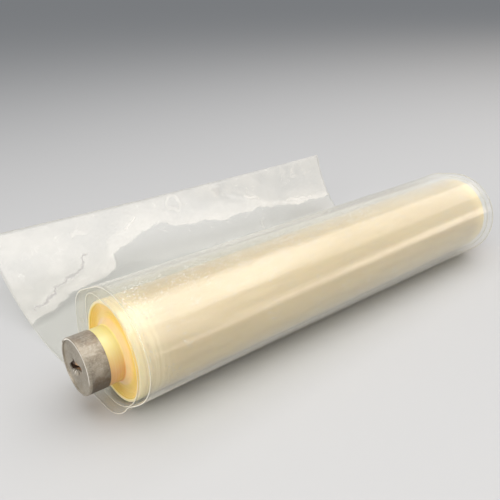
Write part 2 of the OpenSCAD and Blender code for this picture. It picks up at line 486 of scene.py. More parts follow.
def tailMarks(tree, coords, tail, across):
    # pale: painted highlights on the creases and the ring; dark: painted shade on the fold and in the second
    # dent
    place = joinXYZ(tree, calc(tree, "MULTIPLY", across, marks["wide"]),
                    calc(tree, "MULTIPLY", tail, marks["reach"]))
    wander = addNode(tree, "ShaderNodeTexNoise", {
        "Vector": coords, "Scale": marks["wanderScale"], "Detail": 2.0}).outputs["Color"]
    wander = vectorCalc(tree, "SUBTRACT", wander, (0.5, 0.5, 0.5))
    place = vectorCalc(tree, "ADD", place, vectorCalc(tree, "SCALE", wander, scale=marks["wander"]))
    place = vectorCalc(tree, "MULTIPLY", place, (1, 1, 0))

    def drawn(lines, width):
        nearest = smallest(tree, [lineDistance(tree, place, line) for line in lines])
        return smoothStep(tree, nearest, width, 0.0)

    pale, dark = drawn(marks["creases"], marks["creaseWidth"]), drawn(marks["folds"], marks["foldWidth"])
    faint = smoothStep(tree, noiseOn(tree, coords, *marks["faintNoise"]), 0.38, 0.62, 0.15, 1.0)
    fromRing, fromShadedDent = (vectorCalc(tree, "DISTANCE", place, flatPlace(spot))
                            for spot in marks["dents"][:2])
    offLine = calc(tree, "ABSOLUTE", calc(tree, "SUBTRACT", fromRing, marks["ringRadius"]))
    ring = smoothStep(tree, offLine, *marks["ringLine"])
    dentShade = smoothStep(tree, fromShadedDent, *marks["dentShade"])
    pale = calc(tree, "MAXIMUM", calc(tree, "MULTIPLY", pale, faint), ring)
    dark = calc(tree, "MAXIMUM", dark, dentShade)
    isTail = calc(tree, "GREATER_THAN", tail, 0.02)
    return calc(tree, "MULTIPLY", pale, isTail), calc(tree, "MULTIPLY", dark, isTail)


def dustSpecks(tree, coords, isLooseEnd):
    # close together along the top of the slack turns, in small groups elsewhere
    chance = noiseOn(tree, coords, *clearLook["groups"])
    if not isLooseEnd:
        onTop = smoothStep(tree, splitXYZ(tree, coords)[2], *clearLook["topSpan"])
        chance = calc(tree, "MULTIPLY_ADD", onTop, clearLook["topDust"], chance)
    cells = addNode(tree, "ShaderNodeTexVoronoi", {"Vector": coords, "Scale": clearLook["speckScale"]})
    speck = smoothStep(tree, cells.outputs["Distance"], *clearLook["speckSize"])
    return calc(tree, "MULTIPLY", speck, smoothStep(tree, chance, *clearLook["groupEdge"]))


def clearFilmMaterial(name, isLooseEnd):
    look = clearLook
    material, tree, output = newMaterial(name)
    coords = objectCoords(tree)
    # reflectance of one wall, the same from inside as from outside
    facing = addNode(tree, "ShaderNodeLayerWeight", {"Blend": 0.5}).outputs["Facing"]
    mirror = calc(tree, "MULTIPLY_ADD", calc(tree, "POWER", facing, 5.0), *look["mirror"], clamp=True)
    ripples = noiseOn(tree, objectCoords(tree, stretch=(0.4, 1, 1)), *look["ripple"])
    normal = bumpFrom(tree, ripples, *look["rippleBump"])
    if isLooseEnd:
        tail = addNode(tree, "ShaderNodeAttribute", attribute_name="tail").outputs["Fac"]
        across = addNode(tree, "ShaderNodeAttribute", attribute_name="across").outputs["Fac"]
        pale, dark = tailMarks(tree, coords, tail, across)
        # on the loose end: painted reflection on its raised part, painted highlights on the creases and the
        # ring, painted shade on the fold and the second dent
        veil = calc(tree, "MULTIPLY_ADD", tailReflection(tree, coords, tail, across), look["paintedReflection"], look["clean"])
        veil = calc(tree, "MULTIPLY_ADD", pale, look["creaseHighlight"], veil)
        veil = calc(tree, "MULTIPLY_ADD", dark, look["foldVeil"], veil)
        colour = mixColours(tree, calc(tree, "MULTIPLY", dark, look["foldShade"]), look["veil"], look["fold"])
        normal = bumpFrom(tree, calc(tree, "ADD", pale, dark), *look["markBump"], normal)
    else:
        slant = calc(tree, "MULTIPLY", calc(tree, "POWER", facing, 3.0), look["grazing"])
        veil = calc(tree, "ADD", slant, look["turns"] + look["clean"])
        colour = (*look["veil"], 1.0)
    specks = dustSpecks(tree, coords, isLooseEnd)
    veil = calc(tree, "MULTIPLY_ADD", specks, look["speckVeil"], veil, clamp=True)

    clear = addNode(tree, "ShaderNodeBsdfTransparent", {"Color": (*look["passed"], 1.0)})
    dusty = addNode(tree, "ShaderNodeBsdfDiffuse", {"Color": colour})
    shine = addNode(tree, "ShaderNodeBsdfGlossy", {
        "Color": (1, 1, 1, 1), "Roughness": look["rough"], "Normal": normal})
    body = addNode(tree, "ShaderNodeMixShader", {0: veil, 1: clear.outputs[0], 2: dusty.outputs[0]})
    whole = addNode(tree, "ShaderNodeMixShader", {0: mirror, 1: body.outputs[0], 2: shine.outputs[0]})
    tree.links.new(whole.outputs[0], output.inputs[0])
    return material


# The film's cut edge, which gathers the light: its glow is painted as a pale, mostly solid colour
edgeLook = {
    "pale": (0.98, 0.96, 0.82),
    "deep": (0.93, 0.89, 0.68),
    "passed": (0.95, 0.95, 0.88),
    "solid": 0.78,                     # share that can't be seen through
    "scatter": (0.004, 0.004, 0.003),
}


def filmEdgeMaterial():
    material, tree, output = newMaterial("filmEdge")
    uneven = noiseOn(tree, objectCoords(tree), 300.0)
    colour = mixColours(tree, uneven, edgeLook["deep"], edgeLook["pale"])
    clear = addNode(tree, "ShaderNodeBsdfTransparent", {"Color": (*edgeLook["passed"], 1.0)})
    solid = addNode(tree, "ShaderNodeBsdfPrincipled", {
        "Base Color": colour, "Roughness": 0.25, "Subsurface Weight": 0.6,
        "Subsurface Radius": edgeLook["scatter"], "Subsurface Scale": 1.0})
    whole = addNode(tree, "ShaderNodeMixShader", {
        0: edgeLook["solid"], 1: clear.outputs[0], 2: solid.outputs[0]})
    tree.links.new(whole.outputs[0], output.inputs[0])
    return material


tightFilm, filmEdge = tightFilmMaterial(), filmEdgeMaterial()
slackFilm, looseEndFilm = clearFilmMaterial("slackFilm", False), clearFilmMaterial("looseEndFilm", True)
print("film materials made")


# The tight pack: a profile turned about the axis, with its turns a little out of line
pack = {
    "rimRound": 0.0009,
    "rimPoints": 12,
    "rimDown": 0.00004,                # how far the rounded rim is set in along the roll
    "dishDepth": 0.0018,
    "dishTurns": 30,
    "rootThick": 0.0025,
    "rootOut": 0.0022,
    "flareTurns": 14,
    "flareCurve": 1.25,
    "neckThick": 0.0005,
    "neckSteps": 5,
    "neckSink": (0.00002, 0.000015),   # before and after each step
    "neckTaper": 0.000003,
    "stepLong": 0.00008,
    "boreGap": 0.0001,
    "turnGap": 0.00001,
    "sidePoints": 30,
    "sideShare": 0.97,
    "firstTurns": (1, 20, 70),         # number of the first turn in the flare, the dish and the rim
    "turnJitter": 0.00007,
    "segments": 144,
    "sharpFrom": 35,                   # degrees between faces from which an edge stays sharp
    "seed": 4,
}


def turnSteps(inner, outer, count, number, alongAt):
    # one small flat step for each turn, from the inner radius to the outer one
    points, gap = [], pack["turnGap"]
    for i in range(count):
        low, middle, high = i / count, (i + 0.5) / count, (i + 1) / count
        points.append((inner + (outer - inner) * low + gap, alongAt(middle), number + i))
        points.append((inner + (outer - inner) * high - gap, alongAt(middle), number + i))
    return points


def packEnd(capBack):
    # each point: its radius, its place along the roll and the number of its turn
    half, radius, rim = roll["halfWidth"], roll["packRadius"], pack["rimRound"]
    bore = roll["coreRadius"] + pack["boreGap"]
    neck = bore + pack["neckThick"]
    root = neck + pack["rootThick"]
    flareTurn, dishTurn, rimTurn = pack["firstTurns"]
    points = [(bore, capBack, 0)]
    before, after = pack["neckSink"]
    for i in range(pack["neckSteps"]):       # the neck, with a fine step here and there
        x = capBack - (capBack - half - pack["rootOut"]) * i / pack["neckSteps"]
        points.append((neck - before + pack["neckTaper"] * i, x, 0))
        points.append((neck - after + pack["neckTaper"] * i, x - pack["stepLong"], 0))
    points += turnSteps(neck, root, pack["flareTurns"], flareTurn,
                        lambda share: half + pack["rootOut"] * (1 - share) ** pack["flareCurve"])
    points += turnSteps(root, radius - 2 * rim, pack["dishTurns"], dishTurn,
                        lambda share: half - pack["dishDepth"] * math.sin(math.pi * share))
    for i in range(pack["rimPoints"]):       # the rounded rim
        a = math.radians(180 - 180 / pack["rimPoints"] * (i + 0.5))
        along = half + rim * math.sin(a) - pack["rimDown"]
        points.append((radius - rim + rim * math.cos(a), along, rimTurn + i // 2))
    points.append((radius, half, 0))
    return points


def packProfile():
    far = packEnd(roll["capBack"] - roll["farIn"])
    near = [(r, -x, -turn) for r, x, turn in reversed(packEnd(roll["capBack"]))]
    count, reach = pack["sidePoints"], roll["halfWidth"] * pack["sideShare"]
    side = [(roll["packRadius"], reach * (1 - 2 * i / (count - 1)), 0) for i in range(count)]
    return far + side + near


def latheTree():
    tree, start, end = newTree("latheTree", [
        ("Profile Count", "Int", 10), ("Segments", "Int", 96), ("Axis Height", "Float", 0.0263),
        ("Turn Jitter", "Float", 0.0002), ("Seed", "Int", 0), ("Material", "Material", None)])
    given = start.outputs
    count = given["Profile Count"]
    grid = addNode(tree, "GeometryNodeMeshGrid", {
        "Size X": 1.0, "Size Y": 1.0, "Vertices X": calc(tree, "ADD", given["Segments"], 1),
        "Vertices Y": calc(tree, "ADD", count, 1)})
    position = tree.nodes.new("GeometryNodeInputPosition").outputs[0]
    acrossGrid, upGrid = splitXYZ(tree, position)[:2]
    angle = calc(tree, "MULTIPLY", calc(tree, "ADD", acrossGrid, 0.5), 2 * math.pi)
    row = calc(tree, "ROUND", calc(tree, "MULTIPLY", calc(tree, "ADD", upGrid, 0.5), count))
    row = calc(tree, "FLOORED_MODULO", row, count)   # the last row closes on the first

    profilePoint = addNode(tree, "GeometryNodeSampleIndex", {
        "Geometry": given["Geometry"], "Index": row}, data_type="FLOAT_VECTOR", domain="POINT")
    tree.links.new(position, profilePoint.inputs["Value"])
    radius, along, turn = splitXYZ(tree, profilePoint.outputs[0])

    # points of turn number 0 stay in line
    chance = addNode(tree, "FunctionNodeRandomValue", {
        "Min": -1.0, "Max": 1.0, "Seed": given["Seed"], "ID": calc(tree, "ROUND", turn)}, data_type="FLOAT")
    jitter = calc(tree, "MULTIPLY", [o for o in chance.outputs if o.enabled][0], given["Turn Jitter"])
    hasTurn = calc(tree, "SUBTRACT", 1.0, calc(tree, "COMPARE", turn, 0.0, 0.5))
    jitter = calc(tree, "MULTIPLY", jitter, hasTurn)
    height = calc(tree, "MULTIPLY_ADD", radius, calc(tree, "COSINE", angle), given["Axis Height"])
    place = joinXYZ(tree, calc(tree, "ADD", along, jitter),
                    calc(tree, "MULTIPLY", radius, calc(tree, "SINE", angle)), height)
    moved = addNode(tree, "GeometryNodeSetPosition", {"Geometry": grid.outputs["Mesh"], "Position": place})
    merged = addNode(tree, "GeometryNodeMergeByDistance", {"Geometry": moved.outputs[0], "Distance": 1e-6})
    real = addNode(tree, "GeometryNodeRealizeInstances", {"Geometry": merged.outputs[0]})
    dressed = addNode(tree, "GeometryNodeSetMaterial", {
        "Geometry": real.outputs[0], "Material": given["Material"]})
    tree.links.new(dressed.outputs[0], end.inputs[0])
    return tree


def smoothBut(piece, degrees):
    mesh = piece.data
    mesh.shade_smooth()
    mesh.set_sharp_from_angle(angle=math.radians(degrees))


def closeAndFaceOut(piece, dropSlivers=False):
    work = bmesh.new()
    work.from_mesh(piece.data)
    bmesh.ops.remove_doubles(work, verts=work.verts, dist=1e-7)
    if dropSlivers:
        bmesh.ops.dissolve_degenerate(work, edges=work.edges, dist=1e-8)
    bmesh.ops.recalc_face_normals(work, faces=work.faces)
    work.to_mesh(piece.data)
    work.free()


def makePack():
    profile = packProfile()
    source = newObject("packProfile", profile, [])
    piece = runTree(latheTree(), source, "tightPack", {
        "Profile Count": len(profile), "Segments": pack["segments"], "Axis Height": roll["axisHeight"],
        "Turn Jitter": pack["turnJitter"], "Seed": pack["seed"], "Material": tightFilm})
    closeAndFaceOut(piece)
    smoothBut(piece, pack["sharpFrom"])
    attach(piece, "root")
    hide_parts("film")
    return piece


tightPack = makePack()
print("tight pack made")


# The loose web: two rails, one for each edge, with the sheet stretched between them.
# Angles are in degrees round the roll from its lowest point; a pair is the near rail and the far one.
web = {
    "thick": 0.0004,
    "sheetLay": 0.0005,         # thickness that the winding allows for each layer
    "layGap": 0.0005,
    "slide": 0.008,             # how far the free end has slid along the roll
    "flatTo": 10,               # the first turn is flat on the table up to here
    "closing": (290, 60),       # where the outer turn draws in to the pack, and over how many degrees
    "sinking": (620, 60),       # and where the inner turn runs into it
    "lastAngle": 680,
    "outerBulge": ((118, 65, 109, 0.0211), (117, 103, 111, 0.0087)),   # crest, before, after, height
    "backBulge": (221, 40, 37, 0.0038),
    "farShare": 0.45,           # share of the far bulge that the inner turn has
    "fullGive": 0.02,           # the web waves more, the further it stands off the pack
    "mostGive": 0.4,
    "tailGive": 1.6,
    "lift": (0.060, 0.079),     # where the loose end leaves the table
    "reach": (0.150, 0.126),    # where its cut edge is
    "rise": (0.036, 0.044),     # and how high
    "curl": (1.8, 3.2),
    "tailSteps": 46,
    "flatSteps": 14,
    "turnStep": 3,
    "crossSteps": 110,
    "waveHeight": 0.0008,
    "waveSize": 26.0,
    "dentSize": 0.007,
    "dentDepth": 0.0006,
    "creaseSize": 0.0022,
    "creaseHeight": 0.00045,
    "edgeSag": 0.0012,
    "seed": 3,
}


def blend(low, high, t):
    t = max(0.0, min(1.0, t))
    return low + (high - low) * t * t * (3 - 2 * t)


def bulge(angle, crest, before, after, height):
    t = (angle - crest) / (before if angle < crest else after)
    return height * (1 + math.cos(math.pi * t)) / 2 if abs(t) < 1 else 0.0


def turnPoint(angle, end):
    half = web["sheetLay"] / 2
    restRadius = roll["axisHeight"] - half
    layRadius = roll["packRadius"] + web["layGap"] + half
    sunkRadius = roll["packRadius"] - web["sheetLay"]
    give = 0.0
    if angle < 360:              # the outer turn
        flat = restRadius / math.cos(math.radians(min(angle, web["flatTo"])))
        start, over = web["closing"]
        radius = blend(flat, layRadius, (angle - start) / over)
        radius += bulge(angle, *web["outerBulge"][end])
        radius += bulge(angle, *web["backBulge"])
        give = max(0.0, min(web["mostGive"], (radius - layRadius) / web["fullGive"]))
    else:
        start, over = web["sinking"]
        radius = blend(layRadius, sunkRadius, (angle - start) / over) + bulge(angle - 360, *web["backBulge"])
        if end:
            radius += web["farShare"] * bulge(angle - 360, *web["outerBulge"][1])
    side = roll["halfWidth"] if end else -roll["halfWidth"]
    x = side - web["slide"] * (1 - angle / web["lastAngle"])
    turn = math.radians(angle)
    return (x, -radius * math.sin(turn), roll["axisHeight"] - radius * math.cos(turn)), give


def tailPoint(share, end):
    x = (roll["halfWidth"] if end else -roll["halfWidth"]) - web["slide"]
    y = web["lift"][end] + (web["reach"][end] - web["lift"][end]) * share
    z = web["sheetLay"] / 2 + web["rise"][end] * share ** web["curl"][end]
    return (x, y, z), min(1.0, share * web["tailGive"])


def railPoints(end):
    # from the cut edge inwards, each point with its give and its share of the loose end
    steps, flatSteps = web["tailSteps"], web["flatSteps"]
    rail = [tailPoint(1 - i / steps, end) + (1 - i / steps,) for i in range(steps)]
    first, last = (Vector(pointAt(0, end)[0]) for pointAt in (tailPoint, turnPoint))
    rail += [(tuple(first.lerp(last, i / flatSteps)), 0.0, 0.0) for i in range(flatSteps)]
    rail += [turnPoint(a, end) + (-1.0,) for a in range(0, web["lastAngle"] + 1, web["turnStep"])]
    return rail


def webTree():
    tree, start, end = newTree("webTree", [
        ("Rows", "Int", 100), ("Cross Steps", "Int", 40), ("Thickness", "Float", 0.0003),
        ("Wave Height", "Float", 0.0005), ("Wave Size", "Float", 20.0), ("Edge Sag", "Float", 0.001),
        ("Seed", "Int", 0), ("Dents", "Object", None), ("Creases", "Object", None),
        ("Material", "Material", None), ("Loose End Material", "Material", None),
        ("Edge Material", "Material", None)])
    given = start.outputs
    rows = given["Rows"]
    grid = addNode(tree, "GeometryNodeMeshGrid", {
        "Size X": 1.0, "Size Y": 1.0, "Vertices X": given["Cross Steps"], "Vertices Y": rows})
    position = tree.nodes.new("GeometryNodeInputPosition").outputs[0]
    acrossGrid, upGrid = splitXYZ(tree, position)[:2]
    across = calc(tree, "ADD", acrossGrid, 0.5)
    row = calc(tree, "ROUND", calc(tree, "MULTIPLY", calc(tree, "ADD", upGrid, 0.5),
                                   calc(tree, "SUBTRACT", rows, 1)))
    farRow = calc(tree, "ADD", row, rows)

    def stored(name, kind="FLOAT"):
        return addNode(tree, "GeometryNodeInputNamedAttribute", {"Name": name}, data_type=kind).outputs[0]

    def sampled(value, index, kind):
        node = addNode(tree, "GeometryNodeSampleIndex", {"Geometry": given["Geometry"], "Index": index},
                       data_type=kind, domain="POINT")
        tree.links.new(value, node.inputs["Value"])
        return node.outputs[0]

    def along(name):
        value = stored(name)
        return fade(tree, across, sampled(value, row, "FLOAT"), sampled(value, farRow, "FLOAT"))

    near, far = (sampled(position, index, "FLOAT_VECTOR") for index in (row, farRow))
    between = vectorCalc(tree, "SCALE", vectorCalc(tree, "SUBTRACT", far, near), scale=across)
    between = vectorCalc(tree, "ADD", near, between)
    sheet = grid.outputs["Mesh"]
    for label, value in (("across", across), ("give", along("give")), ("tail", along("tail"))):
        sheet = addNode(tree, "GeometryNodeStoreNamedAttribute", {
            "Geometry": sheet, "Name": label, "Value": value}, data_type="FLOAT", domain="POINT").outputs[0]
    sheet = addNode(tree, "GeometryNodeSetPosition", {"Geometry": sheet, "Position": between}).outputs[0]

    # long soft waves where the web has slack, small dents and fine creases on the loose end
    normal = tree.nodes.new("GeometryNodeInputNormal").outputs[0]
    seeded = vectorCalc(tree, "ADD", position, joinXYZ(tree, z=given["Seed"]))
    wave = calc(tree, "SUBTRACT", noiseOn(tree, seeded, given["Wave Size"]), 0.5)
    wave = calc(tree, "MULTIPLY", wave, calc(tree, "MULTIPLY", given["Wave Height"], 2.0))
    wave = calc(tree, "MULTIPLY", wave, stored("give"))

    def nearness(label, target):
        shape = addNode(tree, "GeometryNodeObjectInfo", {"Object": given[label]}).outputs["Geometry"]
        node = addNode(tree, "GeometryNodeProximity", {"Geometry": shape}, target_element=target)
        return node.outputs["Distance"]

    dent = smoothStep(tree, nearness("Dents", "POINTS"), 0.0, web["dentSize"], -web["dentDepth"], 0.0)
    crease = smoothStep(tree, nearness("Creases", "EDGES"), 0.0, web["creaseSize"], web["creaseHeight"], 0.0)
    push = calc(tree, "ADD", wave, calc(tree, "ADD", dent, crease))

    # the loose end sags between its corners
    place = stored("across")
    arch = calc(tree, "MULTIPLY", calc(tree, "MULTIPLY", place, calc(tree, "SUBTRACT", 1.0, place)), 4.0)
    onTail = calc(tree, "POWER", calc(tree, "MAXIMUM", stored("tail"), 0.0), 2.0)
    sag = calc(tree, "MULTIPLY", calc(tree, "MULTIPLY", arch, onTail),
               calc(tree, "MULTIPLY", given["Edge Sag"], -1.0))
    offset = vectorCalc(tree, "ADD", vectorCalc(tree, "SCALE", normal, scale=push), joinXYZ(tree, z=sag))
    sheet = addNode(tree, "GeometryNodeSetPosition", {"Geometry": sheet, "Offset": offset}).outputs[0]

    # thickness: half of it each way from the middle surface
    halfDown = calc(tree, "MULTIPLY", given["Thickness"], -0.5)
    halfBack = vectorCalc(tree, "SCALE", normal, scale=halfDown)
    under = addNode(tree, "GeometryNodeSetPosition", {"Geometry": sheet, "Offset": halfBack}).outputs[0]
    raised = addNode(tree, "GeometryNodeExtrudeMesh", {
        "Mesh": under, "Offset Scale": given["Thickness"], "Individual": False}, mode="FACES")
    sides = addNode(tree, "GeometryNodeStoreNamedAttribute", {
        "Geometry": raised.outputs["Mesh"], "Name": "cut", "Value": raised.outputs["Side"]},
        data_type="BOOLEAN", domain="FACE").outputs[0]
    bottom = addNode(tree, "GeometryNodeFlipFaces", {"Mesh": under})
    joined = tree.nodes.new("GeometryNodeJoinGeometry")
    tree.links.new(bottom.outputs[0], joined.inputs[0])
    tree.links.new(sides, joined.inputs[0])
    closed = addNode(tree, "GeometryNodeMergeByDistance", {"Geometry": joined.outputs[0], "Distance": 1e-6})
    isCut = stored("cut", "BOOLEAN")
    isSheet = addNode(tree, "FunctionNodeBooleanMath", {0: isCut}, operation="NOT").outputs[0]
    smooth = addNode(tree, "GeometryNodeSetShadeSmooth", {
        "Geometry": closed.outputs[0], "Shade Smooth": isSheet})
    dressed = addNode(tree, "GeometryNodeRealizeInstances", {"Geometry": smooth.outputs[0]}).outputs[0]
    isLoose = calc(tree, "GREATER_THAN", stored("tail"), -0.01)
    for label, where in (("Material", True), ("Loose End Material", isLoose), ("Edge Material", isCut)):
        dressed = addNode(tree, "GeometryNodeSetMaterial", {
            "Geometry": dressed, "Selection": where, "Material": given[label]}).outputs[0]
    tree.links.new(dressed, end.inputs[0])
    return tree


def tailSpot(share, across):
    near, far = (Vector(tailPoint(share, end)[0]) for end in (0, 1))
    return near.lerp(far, across)


def makeCreases():
    # guide lines for the creases that are in the mesh
    lines = marks["folds"] + marks["creases"][:marks["shapedCreases"]]
    points, edges = [], []
    for line in lines:
        first = len(points)
        points += [tailSpot(*spot) for spot in line]
        edges += [(first + i, first + i + 1) for i in range(len(line) - 1)]
    return newObject("webCreases", points, [], edges)


def makeWeb():
    nearRail, farRail = railPoints(0), railPoints(1)
    rails = nearRail + farRail
    source = newObject("webRails", [entry[0] for entry in rails], [])
    storeOn(source, "give", [entry[1] for entry in rails])
    storeOn(source, "tail", [entry[2] for entry in rails])
    dents = newObject("webDents", [tailSpot(*spot) for spot in marks["dents"]], [])
    creases = makeCreases()
    piece = runTree(webTree(), source, "looseWeb", {
        "Rows": len(nearRail), "Cross Steps": web["crossSteps"], "Thickness": web["thick"],
        "Wave Height": web["waveHeight"], "Wave Size": web["waveSize"], "Edge Sag": web["edgeSag"],
        "Seed": web["seed"], "Dents": dents, "Creases": creases, "Material": slackFilm,
        "Loose End Material": looseEndFilm, "Edge Material": filmEdge})
    for helper in (dents, creases):
        bpy.data.objects.remove(helper)
    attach(piece, "root")
    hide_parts("film")
    return piece


looseWeb = makeWeb()
print("loose web made")


# The metal end caps
cap = {
    "metal": 0.0007,
    "length": 0.0100,
    "gripGap": 0.0001,
    "openEdge": (0.0001, -0.00005),   # a faint burr inside the open end, across and along
    "backEdge": (0.00012, 0.00015),   # and its small bevel outside
    "skirtShares": (0.15, 0.3, 0.45, 0.6, 0.75, 0.88),
    "rim": 0.0010,
    "recess": 0.0008,
    "edge": 0.0005,
    "roundIn": 0.0003,
    "dome": 0.00012,
    "outerWearAndHighlight": (0, 0, 0, 0.1, 0.4, 0.8, 0.95),   # bare metal and painted highlight, from the skirt up to the rim
    "innerWearAndHighlight": (1.0, 1.0, 0.7, 0.3, 0.1),        # and down into the recess
    "highlightTurn": 0.5,                  # the rim's painted highlight is strongest this far from its top, in radians
    "wearLeast": 0.12,
    "segments": 128,
    "sharpFrom": 38,
    "nick": (51.0, 2.5, 0.0004),      # its place round the rim, its half width in degrees, its height
    "rimUneven": 0.00004,
    "slotBack": 0.0017,
    "slotDrop": 0.0015,
    "slotTilt": 20,
    "slotReach": (0.004, 0.002),      # how far its cutter goes into the face and out of it
    "lobeGap": 0.0110,
    "lobe": 0.0028,
    "slotWidth": 0.0016,
    "cornerHeight": 0.0034,
    "corner": 0.0018,
    "lipWide": 0.0064,
    "lipTall": 0.0013,
    "lipDown": (0.0004, 0.0018),      # below the slot at its root, and how much more at its edge
    "lipThick": 0.0003,
    "lipOff": 0.00005,
    "lipRagged": 0.00022,
    "lipRows": 13,
    "lipColumns": 6,
}

capLook = {
    "patches": (170.0, 4.0, 0.6),
    "brushed": (1700.0, 3.0, 0.6),
    "pits": (1400.0, 3.0, 0.7),
    "pitBump": (0.00006, 0.7),
    "mottles": (1000.0, 3.0, 0.7),
    "stains": (110.0, 3.0, 0.6),
    "shades": [(0.25, (0.165, 0.138, 0.104)), (0.5, (0.285, 0.250, 0.200)), (0.75, (0.405, 0.366, 0.306))],
    "brushedTone": (0.58, 0.55, 0.50),
    "mottleTone": (0.56, 0.54, 0.48),
    "stainTone": (0.20, 0.13, 0.08),
    "underShadeTone": (0.07, 0.05, 0.034),   # painted shade: darker on the skirt's low side
    "faceTone": (0.50, 0.47, 0.39),
    "bareAndHighlightTone": (0.90, 0.87, 0.80),
    "underShadeSpan": (0.006, -0.010),       # heights above the axis
    "faceSpan": (0.1505, 0.1511),     # places along the roll
}


def capMaterial():
    look = capLook
    material, tree, output = newMaterial("tarnishedMetal")
    coords = objectCoords(tree, shift=(0, 0, -roll["axisHeight"]))
    patches = noiseOn(tree, coords, *look["patches"])
    brushed = noiseOn(tree, objectCoords(tree, stretch=(0.1, 1, 1)), *look["brushed"])
    parts = splitXYZ(tree, coords)
    face = smoothStep(tree, calc(tree, "ABSOLUTE", parts[0]), *look["faceSpan"])
    # painted shade: the skirt darker towards its low side
    low = smoothStep(tree, parts[2], *look["underShadeSpan"])
    low = calc(tree, "MULTIPLY", low, calc(tree, "SUBTRACT", 1.0, face))
    mottled = smoothStep(tree, noiseOn(tree, coords, *look["mottles"]), 0.42, 0.66, 0.0, 0.28)
    stained = smoothStep(tree, noiseOn(tree, coords, *look["stains"]), 0.52, 0.68, 0.0, 0.4)
    wearAndHighlight = addNode(tree, "ShaderNodeAttribute", attribute_name="wearAndHighlight").outputs["Fac"]
    # bare metal and painted highlight: pale on the worn rim, brightest on its upper side, and on the lip's
    # bend
    bareAndHighlight = smoothStep(tree, wearAndHighlight, 0.35, 0.85)

    colour = colourRamp(tree, patches, look["shades"])
    for share, tone in ((smoothStep(tree, brushed, 0.5, 0.75, 0.0, 0.22), "brushedTone"),
                        (mottled, "mottleTone"), (stained, "stainTone"),
                        (calc(tree, "MULTIPLY", low, 0.85), "underShadeTone"),
                        (calc(tree, "MULTIPLY", face, 0.18), "faceTone"), (bareAndHighlight, "bareAndHighlightTone")):
        colour = mixColours(tree, share, colour, look[tone])
    pits = noiseOn(tree, coords, *look["pits"])
    height = calc(tree, "ADD", calc(tree, "MULTIPLY", brushed, 0.4), pits)
    surface = addNode(tree, "ShaderNodeBsdfPrincipled", {
        "Base Color": colour, "Roughness": calc(tree, "MULTIPLY_ADD", patches, 0.25, 0.38),
        "Metallic": calc(tree, "MULTIPLY_ADD", bareAndHighlight, -0.35, 0.55),
        "Normal": bumpFrom(tree, height, *look["pitBump"])})
    tree.links.new(surface.outputs[0], output.inputs[0])
    return material


def capProfile():
    # each point: its radius, its distance from the cup's open end and its share of bare metal and painted
    # highlight
    inner, outer, edge = roll["coreRadius"] + cap["gripGap"], roll["capRadius"], cap["edge"]
    length, face = cap["length"], cap["length"] - cap["recess"]
    (burrAcross, burrAlong), (bevelAcross, bevelAlong) = cap["openEdge"], cap["backEdge"]
    points = [(inner, 0.0, 0), (inner + burrAcross, burrAlong, 0)]
    points += [(outer - bevelAcross, 0.0, 0), (outer, bevelAlong, 0)]
    points += [(outer, length * share, 0) for share in cap["skirtShares"]]
    for i, wearAndHighlightShare in enumerate(cap["outerWearAndHighlight"]):          # the folded outer edge
        a = math.radians(15 * i)
        points.append((outer - edge + edge * math.cos(a), length - edge + edge * math.sin(a), wearAndHighlightShare))
    roundIn, ring = cap["roundIn"], outer - cap["rim"]
    for i, wearAndHighlightShare in enumerate(cap["innerWearAndHighlight"]):
        a = math.radians(22.5 * i)
        along = length - roundIn + roundIn * math.cos(a)
        points.append((ring + roundIn - roundIn * math.sin(a), along, wearAndHighlightShare))
    flat = ring - roundIn
    points += [(ring, face + 0.0002, 0.1), (flat, face, 0.0)]
    for i in range(1, 6):                                # the face, a little domed
        points.append((flat * (1 - i / 5), face + cap["dome"] * (i / 5), 0.0))
    points += [(0.0, face - cap["metal"], 0.0), (inner, face - cap["metal"], 0.0)]
    return points


def arcPoints(middle, radius, start, sweep, steps):
    angles = [math.radians(start + sweep * i / steps) for i in range(steps + 1)]
    return [(middle[0] + radius * math.cos(a), middle[1] + radius * math.sin(a)) for a in angles]


def slotOutline():
    half, lobe, corner = cap["lobeGap"] / 2, cap["lobe"] / 2, cap["corner"] / 2
    waist = cap["slotWidth"] / 2
    outline = arcPoints((half, 0), lobe, -115, 195, 8)       # lobe at the front end
    outline += arcPoints((0, cap["cornerHeight"]), corner, -10, 200, 6)   # small lobe at the torn corner
    outline += arcPoints((-half, 0), lobe, 100, 195, 8)      # lobe at the back end
    outline += [(-half * 0.45, -waist), (0.0, -waist * 1.15), (half * 0.5, -waist)]
    return outline


def ontoFace(a, b, x):
    tilt = math.radians(-cap["slotTilt"])
    y = a * math.cos(tilt) - b * math.sin(tilt) + cap["slotBack"]
    z = a * math.sin(tilt) + b * math.cos(tilt) - cap["slotDrop"]
    return (x, y, z + roll["axisHeight"])


def slotCutter():
    face = roll["capBack"] + cap["length"]
    into, outOf = cap["slotReach"]
    outline = slotOutline()
    n = len(outline)
    points = [ontoFace(a, b, x) for x in (-(face + outOf), -(face - into)) for a, b in outline]
    faces = [tuple(range(n)), tuple(range(2 * n - 1, n - 1, -1))]
    faces += [(i, (i + 1) % n, (i + 1) % n + n, i + n) for i in range(n)]
    cutter = newObject("cutter", points, faces)
    closeAndFaceOut(cutter)
    return cutter


def shellFaces(rows, columns):
    # two layers of the same grid, joined along their four edges
    layer, faces = rows * columns, []
    for i in range(rows - 1):
        for k in range(columns - 1):
            c = i * columns + k
            faces.append((c, c + 1, c + columns + 1, c + columns))
            faces.append((layer + c, layer + c + columns, layer + c + columns + 1, layer + c + 1))
    along = [(i * columns + k, i * columns + k + columns) for i in range(rows - 1) for k in (0, columns - 1)]
    across = [(i * columns + k, i * columns + k + 1) for k in range(columns - 1) for i in (0, rows - 1)]
    return faces + [(a, b, layer + b, layer + a) for a, b in along + across]


